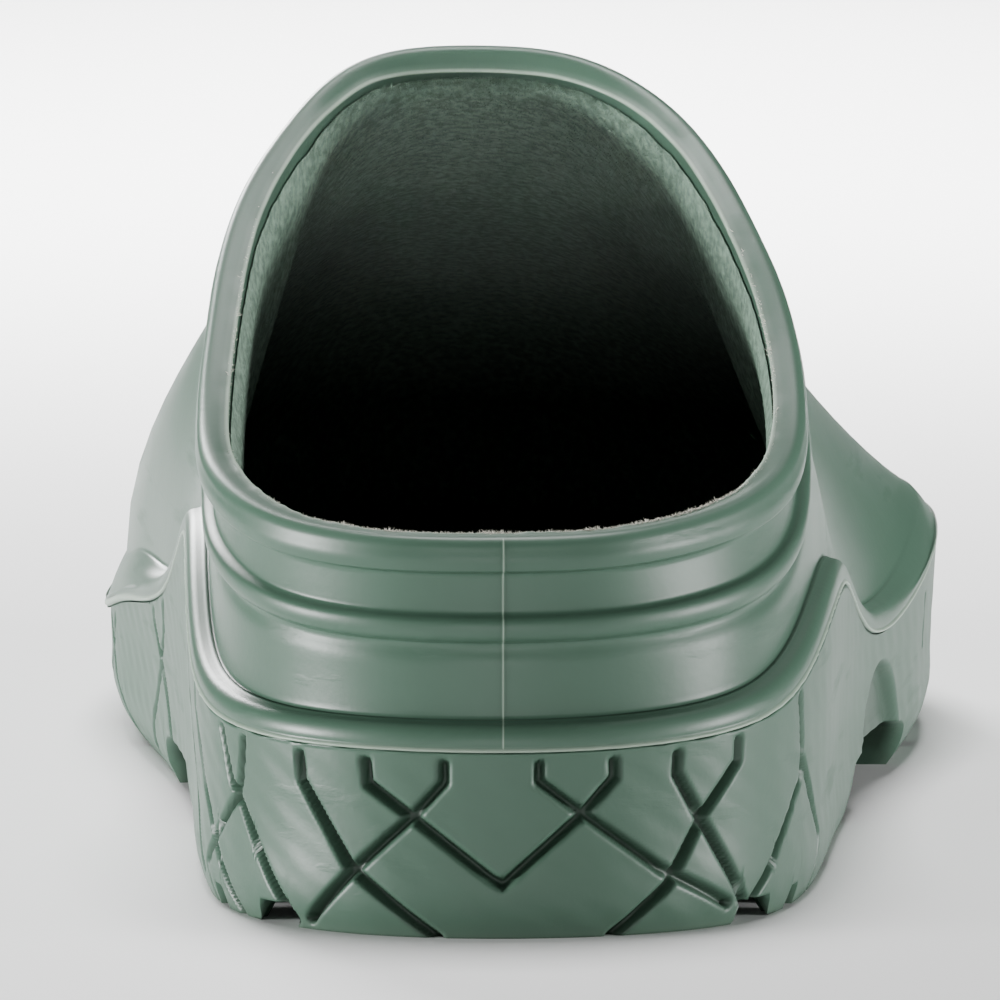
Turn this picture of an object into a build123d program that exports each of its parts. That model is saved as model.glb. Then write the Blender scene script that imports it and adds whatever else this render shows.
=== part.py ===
from build123d import *
import os
import numpy as np

os.makedirs("parts", exist_ok=True)

# A right-foot rubber garden clog.  Millimetres; toe along +Y, outer side of the foot
# along +X, tread on z = 0.  Lengths and widths below are shares of the sole's length
# and of half its widest width; heights are shares of the throat height.

sole_length = 290.0        # back of the heel to the tip of the toe
ball_width = 117.0         # widest part of the sole, across the ball of the foot
throat_height = 100.0      # tread to the top edge of the opening, over the instep
wall = 2.8                 # rubber of the upper between its ribs
sole_wall = 3.5            # side wall of the sole, where it wraps round the upper
welt_height = 4.0          # moulded band that rests on the top edge of the sole
welt_stand = 3.0           # how far that band stands out from the upper
bead_height = 4.2          # thick rolled edge round the opening
bead_stand = 1.2
rib_gap = 5.7              # smooth channel between the edge bead and the rib
rib_height = 3.1           # single rib below the opening
rib_stand = 0.9
lining_thickness = 1.2     # brushed textile sock
lining_drop = 3.0          # lining is trimmed this far below the edge of the opening
board_thickness = 2.0      # stiff insole board the lining is closed by
footbed_thickness = 5.0    # loose foam footbed
cover_thickness = 1.0      # cloth on the footbed
fit = 0.3                  # space left between neighbouring curved pieces
touch = 0.2                # space left between flat layers that lie on each other
footbed_fit = 1.3          # space round the loose footbed
thread_size = 0.9          # overlocked seam that joins the sock to the insole board
core_inset = 15.0          # rubber left round the foam block in the heel
shank_width = 16.0         # steel strip that stiffens the waist
shank_thickness = 1.2
groove_depth = 1.2         # lattice cut in the side of the sole
groove_width = 1.2

half_width = ball_width / 2
axis_y = 0.22 * sole_length      # upright axis the wall sections are set out from

# Outline of the sole seen from above, outer side first: share of length, of half width.
sole_plan = [
    (0.000, 0.00), (0.019, 0.37), (0.062, 0.585), (0.145, 0.705), (0.26, 0.765),
    (0.40, 0.845), (0.535, 0.975), (0.66, 1.04), (0.785, 0.98), (0.905, 0.72),
    (0.98, 0.31), (1.000, -0.12), (0.968, -0.52), (0.88, -0.79), (0.78, -0.92),
    (0.672, -0.955), (0.56, -0.885), (0.43, -0.775), (0.293, -0.715), (0.155, -0.685),
    (0.072, -0.595), (0.019, -0.37),
]

# Inner edge of the opening: share of length, of half width, of throat height.
opening_edge = [
    (0.017, 0.00, 0.504), (0.023, 0.205, 0.507), (0.048, 0.375, 0.517),
    (0.083, 0.505, 0.537), (0.138, 0.583, 0.585), (0.22, 0.575, 0.70),
    (0.30, 0.505, 0.81), (0.37, 0.36, 0.933), (0.408, 0.15, 0.996),
    (0.421, -0.07, 1.006), (0.415, -0.27, 0.996), (0.385, -0.40, 0.952),
    (0.323, -0.52, 0.86), (0.258, -0.575, 0.755), (0.165, -0.60, 0.61),
    (0.105, -0.57, 0.553), (0.050, -0.44, 0.517), (0.020, -0.22, 0.505),
]

# Height of the top edge of the sole along each side: share of length, of throat height.
outer_wave = [
    (0.0, 0.235), (0.05, 0.255), (0.085, 0.28), (0.145, 0.33), (0.205, 0.355),
    (0.27, 0.345), (0.345, 0.28), (0.415, 0.225), (0.48, 0.22), (0.55, 0.245),
    (0.64, 0.275), (0.71, 0.283), (0.81, 0.27), (0.91, 0.25), (1.0, 0.235),
]
inner_wave = [
    (0.0, 0.235), (0.05, 0.24), (0.105, 0.26), (0.14, 0.285), (0.205, 0.35),
    (0.29, 0.40), (0.36, 0.365), (0.43, 0.285), (0.515, 0.23), (0.57, 0.21),
    (0.67, 0.165), (0.81, 0.175), (0.91, 0.205), (1.0, 0.235),
]

# Height of the floor inside the sole, heel seat down to the ball and up to the toe.
floor_line = [
    (0.0, 0.185), (0.15, 0.18), (0.28, 0.175), (0.42, 0.145), (0.56, 0.11),
    (0.70, 0.105), (0.85, 0.112), (1.0, 0.125),
]


def smooth_slopes(knots, values, closed):
    # Slopes of the cubic spline through the values, natural or closed.
    n = len(knots) - 1 if closed else len(knots)
    gaps = np.diff(knots)
    matrix = np.zeros((n, n))
    right = np.zeros((n,) + values.shape[1:])
    for i in range(n):
        before = gaps[i - 1]
        after = gaps[min(i, len(gaps) - 1)]
        if not closed and i == 0:
            matrix[0, 0], matrix[0, 1] = 2, 1
            right[0] = 3 * (values[1] - values[0]) / after
            continue
        if not closed and i == n - 1:
            matrix[i, i], matrix[i, i - 1] = 2, 1
            right[i] = 3 * (values[i] - values[i - 1]) / before
            continue
        last = values[i - 1] if i > 0 else values[n - 1]
        matrix[i, (i - 1) % n] += after
        matrix[i, i] += 2 * (before + after)
        matrix[i, (i + 1) % n] += before
        right[i] = 3 * (after * (values[i] - last) / before + before * (values[i + 1] - values[i]) / after)
    slopes = np.linalg.solve(matrix, right)
    return np.vstack([slopes, slopes[:1]]) if closed else slopes


def spline_at(knots, values, slopes, t):
    # Value of that spline at each t.
    k = np.clip(np.searchsorted(knots, t, side="right") - 1, 0, len(knots) - 2)
    h = knots[k + 1] - knots[k]
    u = (t - knots[k]) / h
    shape = (-1,) + (1,) * (values.ndim - 1)
    h, u = h.reshape(shape), u.reshape(shape)
    return (
        (1 + 2 * u) * (1 - u) ** 2 * values[k]
        + u * (1 - u) ** 2 * h * slopes[k]
        + u * u * (3 - 2 * u) * values[k + 1]
        - u * u * (1 - u) * h * slopes[k + 1]
    )


def closed_curve(points, count=2400):
    # Evenly sampled smooth closed curve through the points.
    ring = np.array(points + points[:1], float)
    steps = np.linalg.norm(np.diff(ring, axis=0), axis=1)
    knots = np.concatenate([[0.0], np.cumsum(np.sqrt(steps))])
    slopes = smooth_slopes(knots, ring, True)
    t = np.linspace(0, knots[-1], count, endpoint=False)
    return spline_at(knots, ring, slopes, t)


def side_line(table, y):
    # Height of a line drawn along the side of the clog, at each y.
    table = np.array(table, float)
    knots = table[:, 0] * sole_length
    values = table[:, 1] * throat_height
    slopes = smooth_slopes(knots, values, False)
    return spline_at(knots, values, slopes, np.clip(np.atleast_1d(y), 0, sole_length))


plan = closed_curve([(x * half_width, y * sole_length) for y, x in sole_plan])
edge = closed_curve([(x * half_width, y * sole_length, z * throat_height) for y, x, z in opening_edge])


def inset_curve(curve, amount):
    # The same closed curve moved inward by the amount, square to its own run.
    run = np.roll(curve[:, :2], -1, axis=0) - np.roll(curve[:, :2], 1, axis=0)
    run = run / np.linalg.norm(run, axis=1)[:, None]
    moved = curve.copy()
    moved[:, 0] += amount * (-run[:, 1])
    moved[:, 1] += amount * run[:, 0]
    return moved


def at_bearing(curve, theta):
    # Distance from the axis (and height, if the curve has one) in the direction theta,
    # where 0 points to the toe and a quarter turn points to the outer side.
    bearing = np.arctan2(curve[:, 0], curve[:, 1] - axis_y)
    order = np.argsort(bearing)
    radius = np.hypot(curve[:, 0], curve[:, 1] - axis_y)
    found = [np.interp(theta, bearing[order], radius[order], period=2 * np.pi)]
    if curve.shape[1] == 3:
        found.append(np.interp(theta, bearing[order], curve[order, 2], period=2 * np.pi))
    return found


def smooth_step(low, high, value):
    u = np.clip((value - low) / (high - low), 0, 1)
    return u * u * (3 - 2 * u)


def wave_height(x, y):
    # Top edge of the sole: the outer and inner side lines, blended across the clog.
    share = smooth_step(-0.25 * ball_width, 0.25 * ball_width, x)
    return share * side_line(outer_wave, y) + (1 - share) * side_line(inner_wave, y)


def welt_rise(x, y):
    # Height of the welt band, which grows along the inner side of the forefoot.
    ahead = smooth_step(0.45, 0.60, y / sole_length)
    inner = smooth_step(-0.25 * ball_width, 0.25 * ball_width, -x)
    return welt_height * (1 + 0.9 * ahead * inner)


def floor_height(y):
    return side_line(floor_line, y)


welt_foot = inset_curve(plan, welt_stand)
edge_outer = inset_curve(edge, -(wall))


def base_path(theta, t):
    # Outer face of the upper, without its ribs, in the upright plane at bearing theta:
    # distance from the axis and height, from the welt (t = 0) to the opening (t = 1).
    r0 = at_bearing(welt_foot, theta)[0]
    x0, y0 = r0 * np.sin(theta), axis_y + r0 * np.cos(theta)
    z0 = wave_height(x0, y0)[0] + float(welt_rise(x0, y0))
    r3, z3 = at_bearing(edge_outer, theta)
    reach, rise = r0 - r3, z3 - z0
    long = smooth_step(6.0, 66.0, reach)
    flat_side = smooth_step(0, 1, 2.2 * np.sin(theta))      # the outer flank slopes, the inner is steep
    flank = smooth_step(8.0, 22.0, reach) * smooth_step(0.1, 0.35, abs(np.sin(theta)))
    r1 = r0 - reach * (0.05 * (1 - long) + 0.15 * flat_side * long + 0.05 * flat_side * flank)
    z1 = z0 + rise * (0.34 + long * (0.09 - 0.30 * flat_side) - flank * (0.11 - 0.04 * flat_side))
    r2 = r3 + reach * (0.30 + long * (0.17 - 0.12 * flat_side) - 0.10 * flank)
    z2 = z3 - rise * (0.36 + long * (0.06 + 0.10 * flat_side))
    a, b, c, d = (1 - t) ** 3, 3 * t * (1 - t) ** 2, 3 * t * t * (1 - t), t ** 3
    return a * r0 + b * r1 + c * r2 + d * r3, a * z0 + b * z1 + c * z2 + d * z3


def to_space(theta, r, z):
    return np.stack([r * np.sin(theta), axis_y + r * np.cos(theta), z], axis=-1)


def wall_face(theta, count=61):
    # Base path with the in-plane normal and the factor that turns a true thickness
    # into a distance in this plane, and the share of the path that bands must allow for.
    t = np.linspace(0, 1, count)
    step = 0.004
    r, z = base_path(theta, t)
    here = to_space(theta, r, z)
    ahead = to_space(theta + step, *base_path(theta + step, t))
    behind = to_space(theta - step, *base_path(theta - step, t))
    around = (ahead - behind) / (2 * step)
    up = np.gradient(here, axis=0)
    normal = np.cross(up, around)
    normal = normal / np.linalg.norm(normal, axis=1)[:, None]
    dr, dz = np.gradient(r), np.gradient(z)
    size = np.hypot(dr, dz)
    flat = np.stack([dz / size, -dr / size], axis=1)
    outward = flat[:, :1] * np.array([np.sin(theta), np.cos(theta), 0]) + flat[:, 1:] * np.array([0, 0, 1])
    lean = np.sum(outward * normal, axis=1)
    lean = np.sign(lean) * np.clip(np.abs(lean), 0.3, 1)
    run = np.concatenate([[0], np.cumsum(np.hypot(np.diff(r), np.diff(z)))])
    along = around[-1] / np.linalg.norm(around[-1])
    rising = up[-1] / np.linalg.norm(up[-1])
    square = np.sqrt(max(1 - np.dot(along, rising) ** 2, 0.1))
    return r, z, flat, np.abs(lean), run, square


def offset_point(face, s, amount):
    # Point at distance s down from the opening, moved outward by a true thickness.
    r, z, flat, lean, run, square = face
    at = run[-1] - s
    k = [np.interp(at, run, v) for v in (r, z, flat[:, 0], flat[:, 1], lean)]
    return k[0] + k[2] * amount / k[4], k[1] + k[3] * amount / k[4]


def polyline_edge(theta, points):
    spots = [Vector(*to_space(theta, np.array(r), np.array(z))) for r, z in points]
    if len(spots) == 2:
        return Edge.make_line(spots[0], spots[1])
    return Edge.make_spline(spots)


def stretch(start, stop, count):
    return [start + (stop - start) * k / (count - 1) for k in range(count)]


def sole_corner(theta, inset):
    # A point of the inset sole outline at this bearing.
    r = float(at_bearing(inset_curve(plan, inset), theta)[0])
    return r, r * np.sin(theta), axis_y + r * np.cos(theta)


def upper_section(theta):
    # Closed outline of the rubber upper in one upright plane.
    face = wall_face(theta)
    length, square = face[4][-1], face[5]
    bead = bead_height / square
    rib_top = bead + rib_gap / square
    rib_bottom = rib_top + rib_height / square
    flank = 0.5 / square
    outer_r, outer_x, outer_y = sole_corner(theta, 0.0)
    foot_r, foot_x, foot_y = sole_corner(theta, sole_wall + fit)
    heel_r, heel_x, heel_y = sole_corner(theta, sole_wall + fit + wall)
    outer_top = float(wave_height(np.array([outer_x]), outer_y)[0]) + touch
    inner_top = float(wave_height(np.array([foot_x]), foot_y)[0]) + touch
    floor = float(floor_height(foot_y)[0]) + fit
    seat = float(floor_height(heel_y)[0]) + fit
    bead_out = [offset_point(face, s, bead_stand) for s in (0.4, bead)]
    channel = [offset_point(face, s, 0) for s in stretch(bead + flank, rib_top - flank, 3)]
    rib = [offset_point(face, s, rib_stand) for s in (rib_top, rib_bottom)]
    lower = [offset_point(face, s, 0) for s in stretch(rib_bottom + flank, length, 9)]
    inside = [offset_point(face, s, -wall) for s in stretch(length, 0.0, 11)]
    inside = [(heel_r, seat), (heel_r, (seat + inside[0][1]) / 2)] + inside
    band = float(welt_rise(outer_x, outer_y))
    welt = [(outer_r, outer_top + 0.85 * welt_height), (outer_r, outer_top)]
    if band > 1.2 * welt_height:
        welt[0] = (outer_r, outer_top + 0.7 * welt_height)
    tuck = [(foot_r, inner_top), (foot_r, floor)]
    chains = [
        bead_out, [bead_out[-1], channel[0]], channel, [channel[-1], rib[0]], rib,
        [rib[-1], lower[0]], lower, [lower[-1], welt[0]], welt, [welt[-1], tuck[0]], tuck,
        [tuck[-1], inside[0]], inside, [inside[-1], bead_out[0]],
    ]
    return Wire([polyline_edge(theta, chain) for chain in chains])


def lining_section(theta):
    # Closed outline of the textile sock in the same plane, just inside the rubber.
    face = wall_face(theta)
    length, square = face[4][-1], face[5]
    near, far = wall + 0.2, wall + 0.2 + lining_thickness
    low_r, low_x, low_y = sole_corner(theta, sole_wall + fit + near)
    in_r, in_x, in_y = sole_corner(theta, sole_wall + fit + far)
    low = float(floor_height(low_y)[0]) + fit
    low_in = float(floor_height(in_y)[0]) + fit
    outside = [offset_point(face, s, -near) for s in stretch(lining_drop / square, length, 11)]
    outside = outside + [(low_r, (low + outside[-1][1]) / 2), (low_r, low)]
    inside = [offset_point(face, s, -far) for s in stretch(length, lining_drop / square, 11)]
    inside = [(in_r, low_in), (in_r, (low_in + inside[0][1]) / 2)] + inside
    chains = [outside, [outside[-1], inside[0]], inside, [inside[-1], outside[0]]]
    return Wire([polyline_edge(theta, chain) for chain in chains])


def section_bearings(first, last, count):
    # Bearings of wall sections spread evenly along the sole outline, between two bearings.
    bearing = np.unwrap(np.arctan2(plan[:, 0], plan[:, 1] - axis_y))
    reach = np.linspace(first, last, 1200)
    radius = at_bearing(plan, reach)[0]
    spots = np.stack([radius * np.sin(reach), radius * np.cos(reach)], axis=1)
    run = np.concatenate([[0], np.cumsum(np.linalg.norm(np.diff(spots, axis=0), axis=1))])
    return np.interp(np.linspace(0, run[-1], count), run, reach)


def ring_solid(section):
    # A ring lofted through the wall sections, made as an outer and an inner half.
    halves = []
    for first, last in ((0.0, np.pi), (-np.pi, 0.0)):
        wires = [section(theta) for theta in section_bearings(first, last, 31)]
        halves.append(Solid.make_loft(wires))
    return halves[0].fuse(halves[1])


# The sole and the pieces inside it are cut from stacks of the sole outline.

tall = throat_height / 100
# Draft of the sole's side: height, inset all round, further inset round the forefoot.
draft = [(0.0, 2.3, 2.2), (2.5, 1.4, 1.35), (10.0, 0.9, 0.0), (24.0, 0.25, 0.0), (48.0, 0.0, 0.0)]
arch_start, arch_end = 0.345 * sole_length, 0.53 * sole_length
arch_roof = 0.075 * throat_height


forefoot = smooth_step(0.38, 0.58, plan[:, 1] / sole_length)


def outline_wire(inset, z, count=80):
    ring = inset_curve(plan, inset)[:: len(plan) // count]
    return Wire([Edge.make_spline([Vector(x, y, z) for x, y in ring], periodic=True)])


def outline_stack(extra, levels):
    return Solid.make_loft([outline_wire(inset + nose * forefoot + extra, z * tall) for z, inset, nose in levels])


def outline_block(inset, bottom, top):
    return Solid.extrude(Face(outline_wire(inset, bottom)), Vector(0, 0, top - bottom))


def side_slab(low, high):
    # Everything between two side lines, each a list of (y, z), right across the clog.
    half = ball_width
    points = [Vector(-half, y, z) for y, z in low + high[::-1]]
    return Solid.extrude(Face(Wire.make_polygon(points, close=True)), Vector(2 * half, 0, 0))


def floor_slab(low, high):
    # A layer of even thickness lying on the floor of the sole.
    ys = np.linspace(-0.1, 1.1, 49) * sole_length
    zs = floor_height(ys)
    return side_slab(list(zip(ys, zs + low)), list(zip(ys, zs + high)))


def above_wave():
    # Everything above the wavy top edge of the sole.
    wires = []
    for share in (-1.4, -0.5, -0.38, -0.25, -0.12, 0.0, 0.12, 0.25, 0.38, 0.5, 1.4):
        x = share * half_width
        ys = np.linspace(-0.1, 1.1, 61) * sole_length
        zs = wave_height(np.full_like(ys, x), ys)
        top = 2 * throat_height
        line = [Vector(x, y, z) for y, z in zip(ys, zs)]
        corners = [Vector(x, ys[-1], top), Vector(x, ys[0], top)]
        wires.append(Wire([
            Edge.make_spline(line),
            Edge.make_line(line[-1], corners[0]),
            Edge.make_line(corners[0], corners[1]),
            Edge.make_line(corners[1], line[0]),
        ]))
    return Solid.make_loft(wires, ruled=True)


def wall_spot(s, z):
    # Point on the side of the sole at distance s round from the back of the heel
    # (outer side positive), with the direction straight out of the wall.
    heights, insets, noses = zip(*draft)
    inset, nose = np.interp(z / tall, heights, insets), np.interp(z / tall, heights, noses)
    ring = inset_curve(plan, inset + nose * forefoot)
    steps = np.linalg.norm(np.roll(ring, -1, axis=0) - ring, axis=1)
    run = np.concatenate([[0], np.cumsum(steps)])
    closed = np.vstack([ring, ring[:1]])
    at = s % run[-1]
    spot = [np.interp(at, run, closed[:, k]) for k in (0, 1)]
    near = [np.interp((at + 0.5) % run[-1], run, closed[:, k]) for k in (0, 1)]
    way = Vector(near[0] - spot[0], near[1] - spot[1], 0).normalized()
    return Vector(spot[0], spot[1], z), Vector(way.Y, -way.X, 0)


def groove(points):
    # One straight-sided cut run through (s, z) points on the side of the sole.
    pieces = []
    for (s0, z0), (s1, z1) in zip(points, points[1:]):
        count = max(2, int(np.hypot(s1 - s0, z1 - z0) / 4) + 1)
        wires = []
        for k in range(count):
            share = k / (count - 1)
            spot, out = wall_spot(s0 + (s1 - s0) * share, z0 + (z1 - z0) * share)
            along = Vector(0, 0, 1).cross(out) * (s1 - s0) + Vector(0, 0, 1) * (z1 - z0)
            across = along.normalized().cross(out) * (groove_width / 2)
            deep = spot - out * groove_depth
            high = spot + out * 2.0
            corners = [deep + across, high + across, high - across, deep - across]
            wires.append(Wire.make_polygon(corners, close=True))
        pieces.append(Solid.make_loft(wires, ruled=True))
    return pieces


def wave_at(s):
    spot, out = wall_spot(s, 0.2 * throat_height)
    return float(wave_height(np.array([spot.X]), spot.Y)[0])


# Lattice in the side of the heel: each stroke runs through (distance round from the back
# of the heel, height) points.  It starts under the welt, drops straight, then leans over
# and crosses its neighbour.
heel_strokes = [
    [(-48, 99), (-43.5, 17), (-41.5, 15.8), (-30, 1)],
    [(-38, 99), (-40.5, 18), (-41.5, 15.8), (-56, 5)],
    [(-28.3, 99), (-27.6, 19.2), (-20.2, 8.6), (-8.5, 0)],
    [(-18.6, 99), (-17.5, 19.4), (-11.6, 15.4), (0, 7)],
    [(-7.5, 99), (-7.5, 19.8), (-11.6, 15.4), (-27, 1.5)],
    [(4.6, 99), (4.6, 20), (10.2, 15.8), (20.9, 8.3), (32, 3)],
    [(13.8, 99), (14.3, 20.3), (10.2, 15.8), (0, 7)],
    [(23.3, 99), (22.9, 20.3), (26.5, 14.8), (35, 3)],
    [(32.9, 99), (32.9, 21), (27.3, 15), (21.8, 6.2), (14.3, 0)],
    [(47, 99), (52, 20), (52, 16.4), (37, 3)],
    [(-62, 99), (-62, 24), (-57, 15), (-47, 5)],
]


def lattice_cuts():
    cuts = []
    for stroke in heel_strokes:
        first = stroke[0][0]
        points = [(first, wave_at(first) - 0.8)] + [(s, z * tall) for s, z in stroke[1:]]
        cuts += groove(points)
    return cuts


def arch_tunnel():
    # The open gap under the waist, between the heel block and the front tread.
    middle = (arch_start + arch_end) / 2
    points = [(arch_start - 3, -5), (arch_start, 0), (arch_start + 4, arch_roof * 0.8), (middle, arch_roof)]
    points += [(arch_end - 6, arch_roof * 0.8), (arch_end, 0), (arch_end + 3, -5)]
    return side_slab([(arch_start - 3, -6), (arch_end + 3, -6)], points)


def arch_hollows():
    # Shallow domed dents in both flanks above that gap.
    middle = (arch_start + arch_end) / 2
    radius = 0.165 * throat_height
    disc = Solid.make_cylinder(radius, 3 * half_width, Plane((-1.5 * half_width, middle, 0), z_dir=(1, 0, 0)))
    return disc - outline_stack(1.0, draft)


def tread_cuts():
    # Slots in the tread: two along the heel, and a row across the front.
    cuts = []
    depth = 0.03 * throat_height
    heel_length = arch_start
    for x in (-0.47, 0.52):
        cuts.append(Pos(x * half_width, heel_length / 2 - 10, 0) * Box(4, heel_length + 20, 2 * depth))
    for share in (0.10, 0.22):
        cuts.append(Pos(0, share * sole_length, 0) * Box(2.2 * half_width, 3.5, 2 * depth))
    for share in (0.60, 0.67, 0.74, 0.81, 0.88, 0.94):
        cuts.append(Pos(0, share * sole_length, 0) * Box(2.2 * half_width, 4.5, 2.6 * depth))
    return cuts


rounded = outline_stack(0.0, draft)
cup = outline_block(sole_wall, -5, 60 * tall) & floor_slab(0.0, 2 * throat_height)
core_box = Pos(0, 0.155 * sole_length, 30) * Box(ball_width, 0.23 * sole_length, 60)
core_room = outline_block(core_inset, 0.05 * throat_height, 60 * tall) & core_box
shank_box = Pos(-1, 0.435 * sole_length, 30) * Box(shank_width, 0.27 * sole_length, 60)
shank_room = Pos(-1, 0.435 * sole_length, 30) * Box(shank_width + 2 * fit, 0.27 * sole_length + 2 * fit, 60)

outsole = rounded - above_wave()
outsole = outsole - cup
outsole = outsole - core_room
outsole = outsole - (shank_room & floor_slab(-shank_thickness - 2 * touch, 5))
outsole = outsole - arch_tunnel()
outsole = outsole - arch_hollows()
outsole = outsole - tread_cuts()
outsole = outsole - lattice_cuts()

board_inset = sole_wall + fit + wall + 0.2 + lining_thickness + fit + 0.4
board_low = touch
board_high = board_low + board_thickness
bed_low = board_high + touch
bed_high = bed_low + footbed_thickness
bed_inset = board_inset + 0.1 + footbed_fit

insole_board = outline_block(board_inset, 0, 60 * tall) & floor_slab(board_low, board_high)
thread_low = board_high + touch / 2
outside_seam = outline_block(board_inset + 0.1, 0, 60 * tall)
inside_seam = outline_block(board_inset + 0.1 + thread_size, -1, 61 * tall)
seam_thread = (outside_seam - inside_seam) & floor_slab(thread_low, thread_low + thread_size)
footbed_foam = outline_block(bed_inset, 0, 60 * tall) & floor_slab(bed_low, bed_high)
footbed_cover = outline_block(bed_inset, 0, 60 * tall) & floor_slab(bed_high + 0.02, bed_high + cover_thickness)
heel_core = outline_block(core_inset + fit, 0.05 * throat_height + touch, 60 * tall)
heel_core = heel_core & (Pos(0, 0.155 * sole_length, 30) * Box(ball_width, 0.23 * sole_length - 2 * fit, 60))
heel_core = heel_core & floor_slab(-throat_height, -touch)
shank = shank_box & floor_slab(-shank_thickness - touch, -touch)

upper_shell = ring_solid(upper_section)
upper_lining = ring_solid(lining_section)

pieces = {
    "upper_shell": upper_shell,
    "upper_lining": upper_lining,
    "outsole": outsole,
    "heel_core": heel_core,
    "shank": shank,
    "insole_board": insole_board,
    "seam_thread": seam_thread,
    "footbed_foam": footbed_foam,
    "footbed_cover": footbed_cover,
}
box = upper_shell.bounding_box()
sole_box = outsole.bounding_box()
shift_x = -(min(box.min.X, sole_box.min.X) + max(box.max.X, sole_box.max.X)) / 2
shift_y = -(min(box.min.Y, sole_box.min.Y) + max(box.max.Y, sole_box.max.Y)) / 2
for name, piece in pieces.items():
    placed = Pos(shift_x, shift_y, 0) * piece
    placed.label = name
    export_step(placed, f"parts/{name}.step")
    print(name, len(placed.solids()), placed.is_valid, round(placed.volume / 1000, 2), "cm3")
print("moved by", round(shift_x, 3), round(shift_y, 3))
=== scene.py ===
import math
import bpy
import numpy as np
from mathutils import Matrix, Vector


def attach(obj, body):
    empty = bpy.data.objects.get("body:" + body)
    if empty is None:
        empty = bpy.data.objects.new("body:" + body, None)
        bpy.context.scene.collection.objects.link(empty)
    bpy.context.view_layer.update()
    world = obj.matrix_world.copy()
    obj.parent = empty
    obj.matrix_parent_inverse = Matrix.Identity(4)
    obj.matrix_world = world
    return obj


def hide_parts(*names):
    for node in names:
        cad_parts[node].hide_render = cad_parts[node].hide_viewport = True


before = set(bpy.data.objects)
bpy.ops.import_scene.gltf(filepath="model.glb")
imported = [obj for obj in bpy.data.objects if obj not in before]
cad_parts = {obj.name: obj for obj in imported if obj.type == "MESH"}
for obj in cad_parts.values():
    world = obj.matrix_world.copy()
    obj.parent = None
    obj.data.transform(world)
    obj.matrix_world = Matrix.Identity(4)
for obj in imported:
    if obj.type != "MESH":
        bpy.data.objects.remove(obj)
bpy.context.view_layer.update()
print("loaded the frame")

# The clog, in millimetres, set out as in its CAD: toe along +Y, outer side of the foot along +X.
# Everything is moved by frameShift and turned into metres when a mesh is made.
clog = {
    "length": 290.0,          # heel to toe
    "halfWidth": 58.5,        # half the width across the ball of the foot
    "height": 100.0,          # nominal height of the throat above the tread
    "wall": 2.8,              # rubber of the upper
    "soleWall": 3.5,          # side wall of the sole round the upper
    "weltHeight": 4.0,        # band resting on the top edge of the sole
    "weltStand": 3.0,
    "beadHeight": 4.2,        # rolled edge round the opening
    "beadStand": 1.2,
    "ribGap": 5.7,            # channel between bead and rib
    "ribHeight": 3.1,
    "ribStand": 0.9,
    "liningThickness": 1.2,
    "fit": 0.3,
    "touch": 0.2,
}
frameShift = np.array([-2.596, -145.009, 0.0])
axisY = 0.22 * clog["length"]

# Outline of the sole from above: share of length, share of half width, outer side positive.
solePlan = [
    (0.000, 0.00), (0.019, 0.37), (0.062, 0.585), (0.145, 0.705), (0.26, 0.765),
    (0.40, 0.845), (0.535, 0.975), (0.66, 1.04), (0.785, 0.98), (0.905, 0.72),
    (0.98, 0.31), (1.000, -0.12), (0.968, -0.52), (0.88, -0.79), (0.78, -0.92),
    (0.672, -0.955), (0.56, -0.885), (0.43, -0.775), (0.293, -0.715), (0.155, -0.685),
    (0.072, -0.595), (0.019, -0.37),
]
# Inner edge of the opening: share of length, of half width, of height.
openingEdge = [
    (0.017, 0.00, 0.504), (0.023, 0.205, 0.507), (0.048, 0.375, 0.517),
    (0.083, 0.505, 0.537), (0.138, 0.583, 0.585), (0.22, 0.575, 0.70),
    (0.30, 0.505, 0.81), (0.37, 0.36, 0.933), (0.408, 0.15, 0.996),
    (0.421, -0.07, 1.006), (0.415, -0.27, 0.996), (0.385, -0.40, 0.952),
    (0.323, -0.52, 0.86), (0.258, -0.575, 0.755), (0.165, -0.60, 0.61),
    (0.105, -0.57, 0.553), (0.050, -0.44, 0.517), (0.020, -0.22, 0.505),
]
# Top edge of the sole along each side, and the floor inside: share of length, of height.
outerWave = [
    (0.0, 0.235), (0.05, 0.255), (0.085, 0.28), (0.145, 0.33), (0.205, 0.355),
    (0.27, 0.345), (0.345, 0.28), (0.415, 0.225), (0.48, 0.22), (0.55, 0.245),
    (0.64, 0.275), (0.71, 0.283), (0.81, 0.27), (0.91, 0.25), (1.0, 0.235),
]
innerWave = [
    (0.0, 0.235), (0.05, 0.24), (0.105, 0.26), (0.14, 0.285), (0.205, 0.35),
    (0.29, 0.40), (0.36, 0.365), (0.43, 0.285), (0.515, 0.23), (0.57, 0.21),
    (0.67, 0.165), (0.81, 0.175), (0.91, 0.205), (1.0, 0.235),
]
floorLine = [
    (0.0, 0.185), (0.15, 0.18), (0.28, 0.175), (0.42, 0.145), (0.56, 0.11),
    (0.70, 0.105), (0.85, 0.112), (1.0, 0.125),
]


def splineSlopes(knots, values, closed):
    # Slopes of the smooth cubic through the values: one linear system, solved at once.
    n = len(knots) - 1 if closed else len(knots)
    gaps = np.diff(knots)
    matrix = np.zeros((n, n))
    right = np.zeros((n,) + values.shape[1:])
    for i in range(n):
        if not closed and i in (0, n - 1):
            j = 1 if i == 0 else n - 2
            matrix[i, i], matrix[i, j] = 2, 1
            right[i] = 3 * (values[j] - values[i]) / (knots[j] - knots[i])
            continue
        before, after = gaps[i - 1], gaps[i]
        matrix[i, (i - 1) % n] += after
        matrix[i, i] += 2 * (before + after)
        matrix[i, (i + 1) % n] += before
        back = values[i] - values[(i - 1) % n]
        right[i] = 3 * (after * back / before + before * (values[i + 1] - values[i]) / after)
    slopes = np.linalg.solve(matrix, right)
    return np.concatenate([slopes, slopes[:1]]) if closed else slopes


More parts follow.
